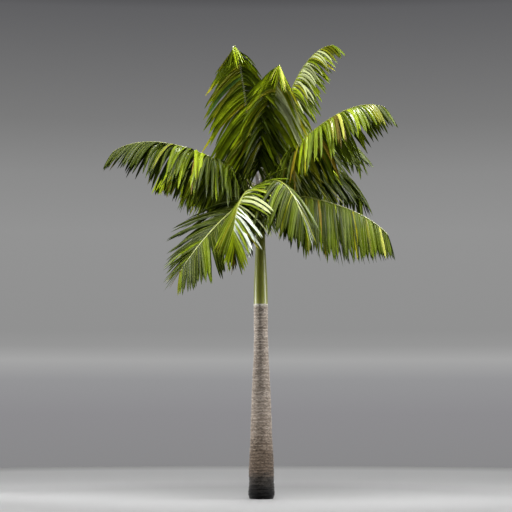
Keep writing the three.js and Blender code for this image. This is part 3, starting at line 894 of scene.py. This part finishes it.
bpy.ops.object.select_all(action="DESELECT")
bpy.ops.mesh.primitive_circle_add(vertices=FLOOR_SIDES, radius=FLOOR_RADIUS, fill_type="NGON",
                                  location=(0, 0, FLOOR_HEIGHT))
floor = bpy.context.object
floor.name = "studio_floor"
floor_paint, tree, shader = new_material("pale floor paint")
place = add(tree, "ShaderNodeTexCoord").outputs["Object"]
away = add(tree, "ShaderNodeVectorMath", {0: place}, operation="LENGTH").outputs["Value"]
reach = add(tree, "ShaderNodeMapRange", {0: away, FROM_LOW: 0.0, FROM_HIGH: FLOOR_RADIUS}).outputs[0]
# Painted light: darker near the palm where the lamps pool, paler further out where their light falls off,
# and darker again at the rim.
pale = add(tree, "ShaderNodeValToRGB", {0: reach},
           [(0.0, "#898989"), (0.25, "#898989"), (0.4, "#979797"), (0.8, "#9c9c9c"),
            (1.0, "#868686")]).outputs[0]
tree.links.new(pale, shader.inputs["Base Color"])
# Matt paint takes the shadow and gives no reflection.
shader.inputs["Roughness"].default_value = 0.9
shader.inputs["Specular IOR Level"].default_value = 0.0
floor.data.materials.append(floor_paint)
print("floor radius", FLOOR_RADIUS)

# %% Backdrop
SKY_FROM, SKY_TO = -0.04, 0.28

world = bpy.data.worlds.new("studio backdrop")
bpy.context.scene.world = world
world.use_nodes = True
tree = world.node_tree
facing = add(tree, "ShaderNodeTexCoord").outputs["Generated"]
up = add(tree, "ShaderNodeSeparateXYZ", {0: facing}).outputs["Z"]
spread = add(tree, "ShaderNodeMapRange", {0: up, FROM_LOW: SKY_FROM, FROM_HIGH: SKY_TO}).outputs[0]
sky = add(tree, "ShaderNodeValToRGB", {0: spread},
          [(0.0, "#888889"), (0.13, "#8d8c8f"), (0.2, "#959597"), (0.24, "#a6a6a6"), (0.27, "#969696"),
           (0.3, "#919191"), (0.5, "#939393"), (0.62, "#8b8b8b"), (0.73, "#7a7a7a"),
           (0.95, "#606062"), (1.0, "#3c3c3e")])
backdrop = tree.nodes["Background"]
tree.links.new(sky.outputs[0], backdrop.inputs["Color"])
backdrop.inputs["Strength"].default_value = 1.0
print("sky stops", len(sky.color_ramp.elements))

# %% Lights
DAYLIGHT_TURN = (math.radians(12), math.radians(8), 0)
DAYLIGHT_STRENGTH, DAYLIGHT_ANGLE = 3.0, 100


def soft_box(name, place, size, watts, aim_height, spread=100, diffuse=True, glossy=True):
    """A rectangular lamp outside the picture, turned to a height on the palm's axis."""
    bpy.ops.object.light_add(type="AREA", location=place)
    lamp = bpy.context.object
    lamp.name = name
    lamp.data.shape = "RECTANGLE"
    lamp.data.size, lamp.data.size_y = size
    lamp.data.energy = watts
    lamp.data.spread = math.radians(spread)
    aim = lamp.location.copy()
    aim.x, aim.y, aim.z = -aim.x, -aim.y, aim_height - aim.z
    lamp.rotation_euler = aim.to_track_quat("-Z", "Y").to_euler()
    lamp.visible_camera = False
    lamp.visible_diffuse = diffuse
    lamp.visible_glossy = glossy


soft_box("soft box left", (-7.2, 1.0, 2.6), (3.0, 4.8), 300, 3.6)
soft_box("soft box right", (7.5, -1.0, 5.0), (3.0, 7.6), 275, 4.2)
soft_box("soft box above", (0, -6.0, 15.0), (8.0, 8.0), 1050, 4.2)
soft_box("soft box behind", (0, 8.0, 11.0), (6.0, 6.0), 420, 4.2, glossy=False)
soft_box("glint right", (9.0, -5.0, 15.0), (3.5, 3.5), 6000, 7.0, 180, diffuse=False)
soft_box("glint above", (3.5, 2.5, 17.0), (3.0, 3.0), 3200, 7.0, 180, diffuse=False)
bpy.ops.object.light_add(type="SUN", rotation=DAYLIGHT_TURN)
daylight = bpy.context.object
daylight.name = "even daylight"
daylight.data.energy = DAYLIGHT_STRENGTH
daylight.data.angle = math.radians(DAYLIGHT_ANGLE)
bpy.context.scene.view_settings.view_transform = "Standard"
print("lights", [o.name for o in bpy.data.objects if o.type == "LIGHT"])
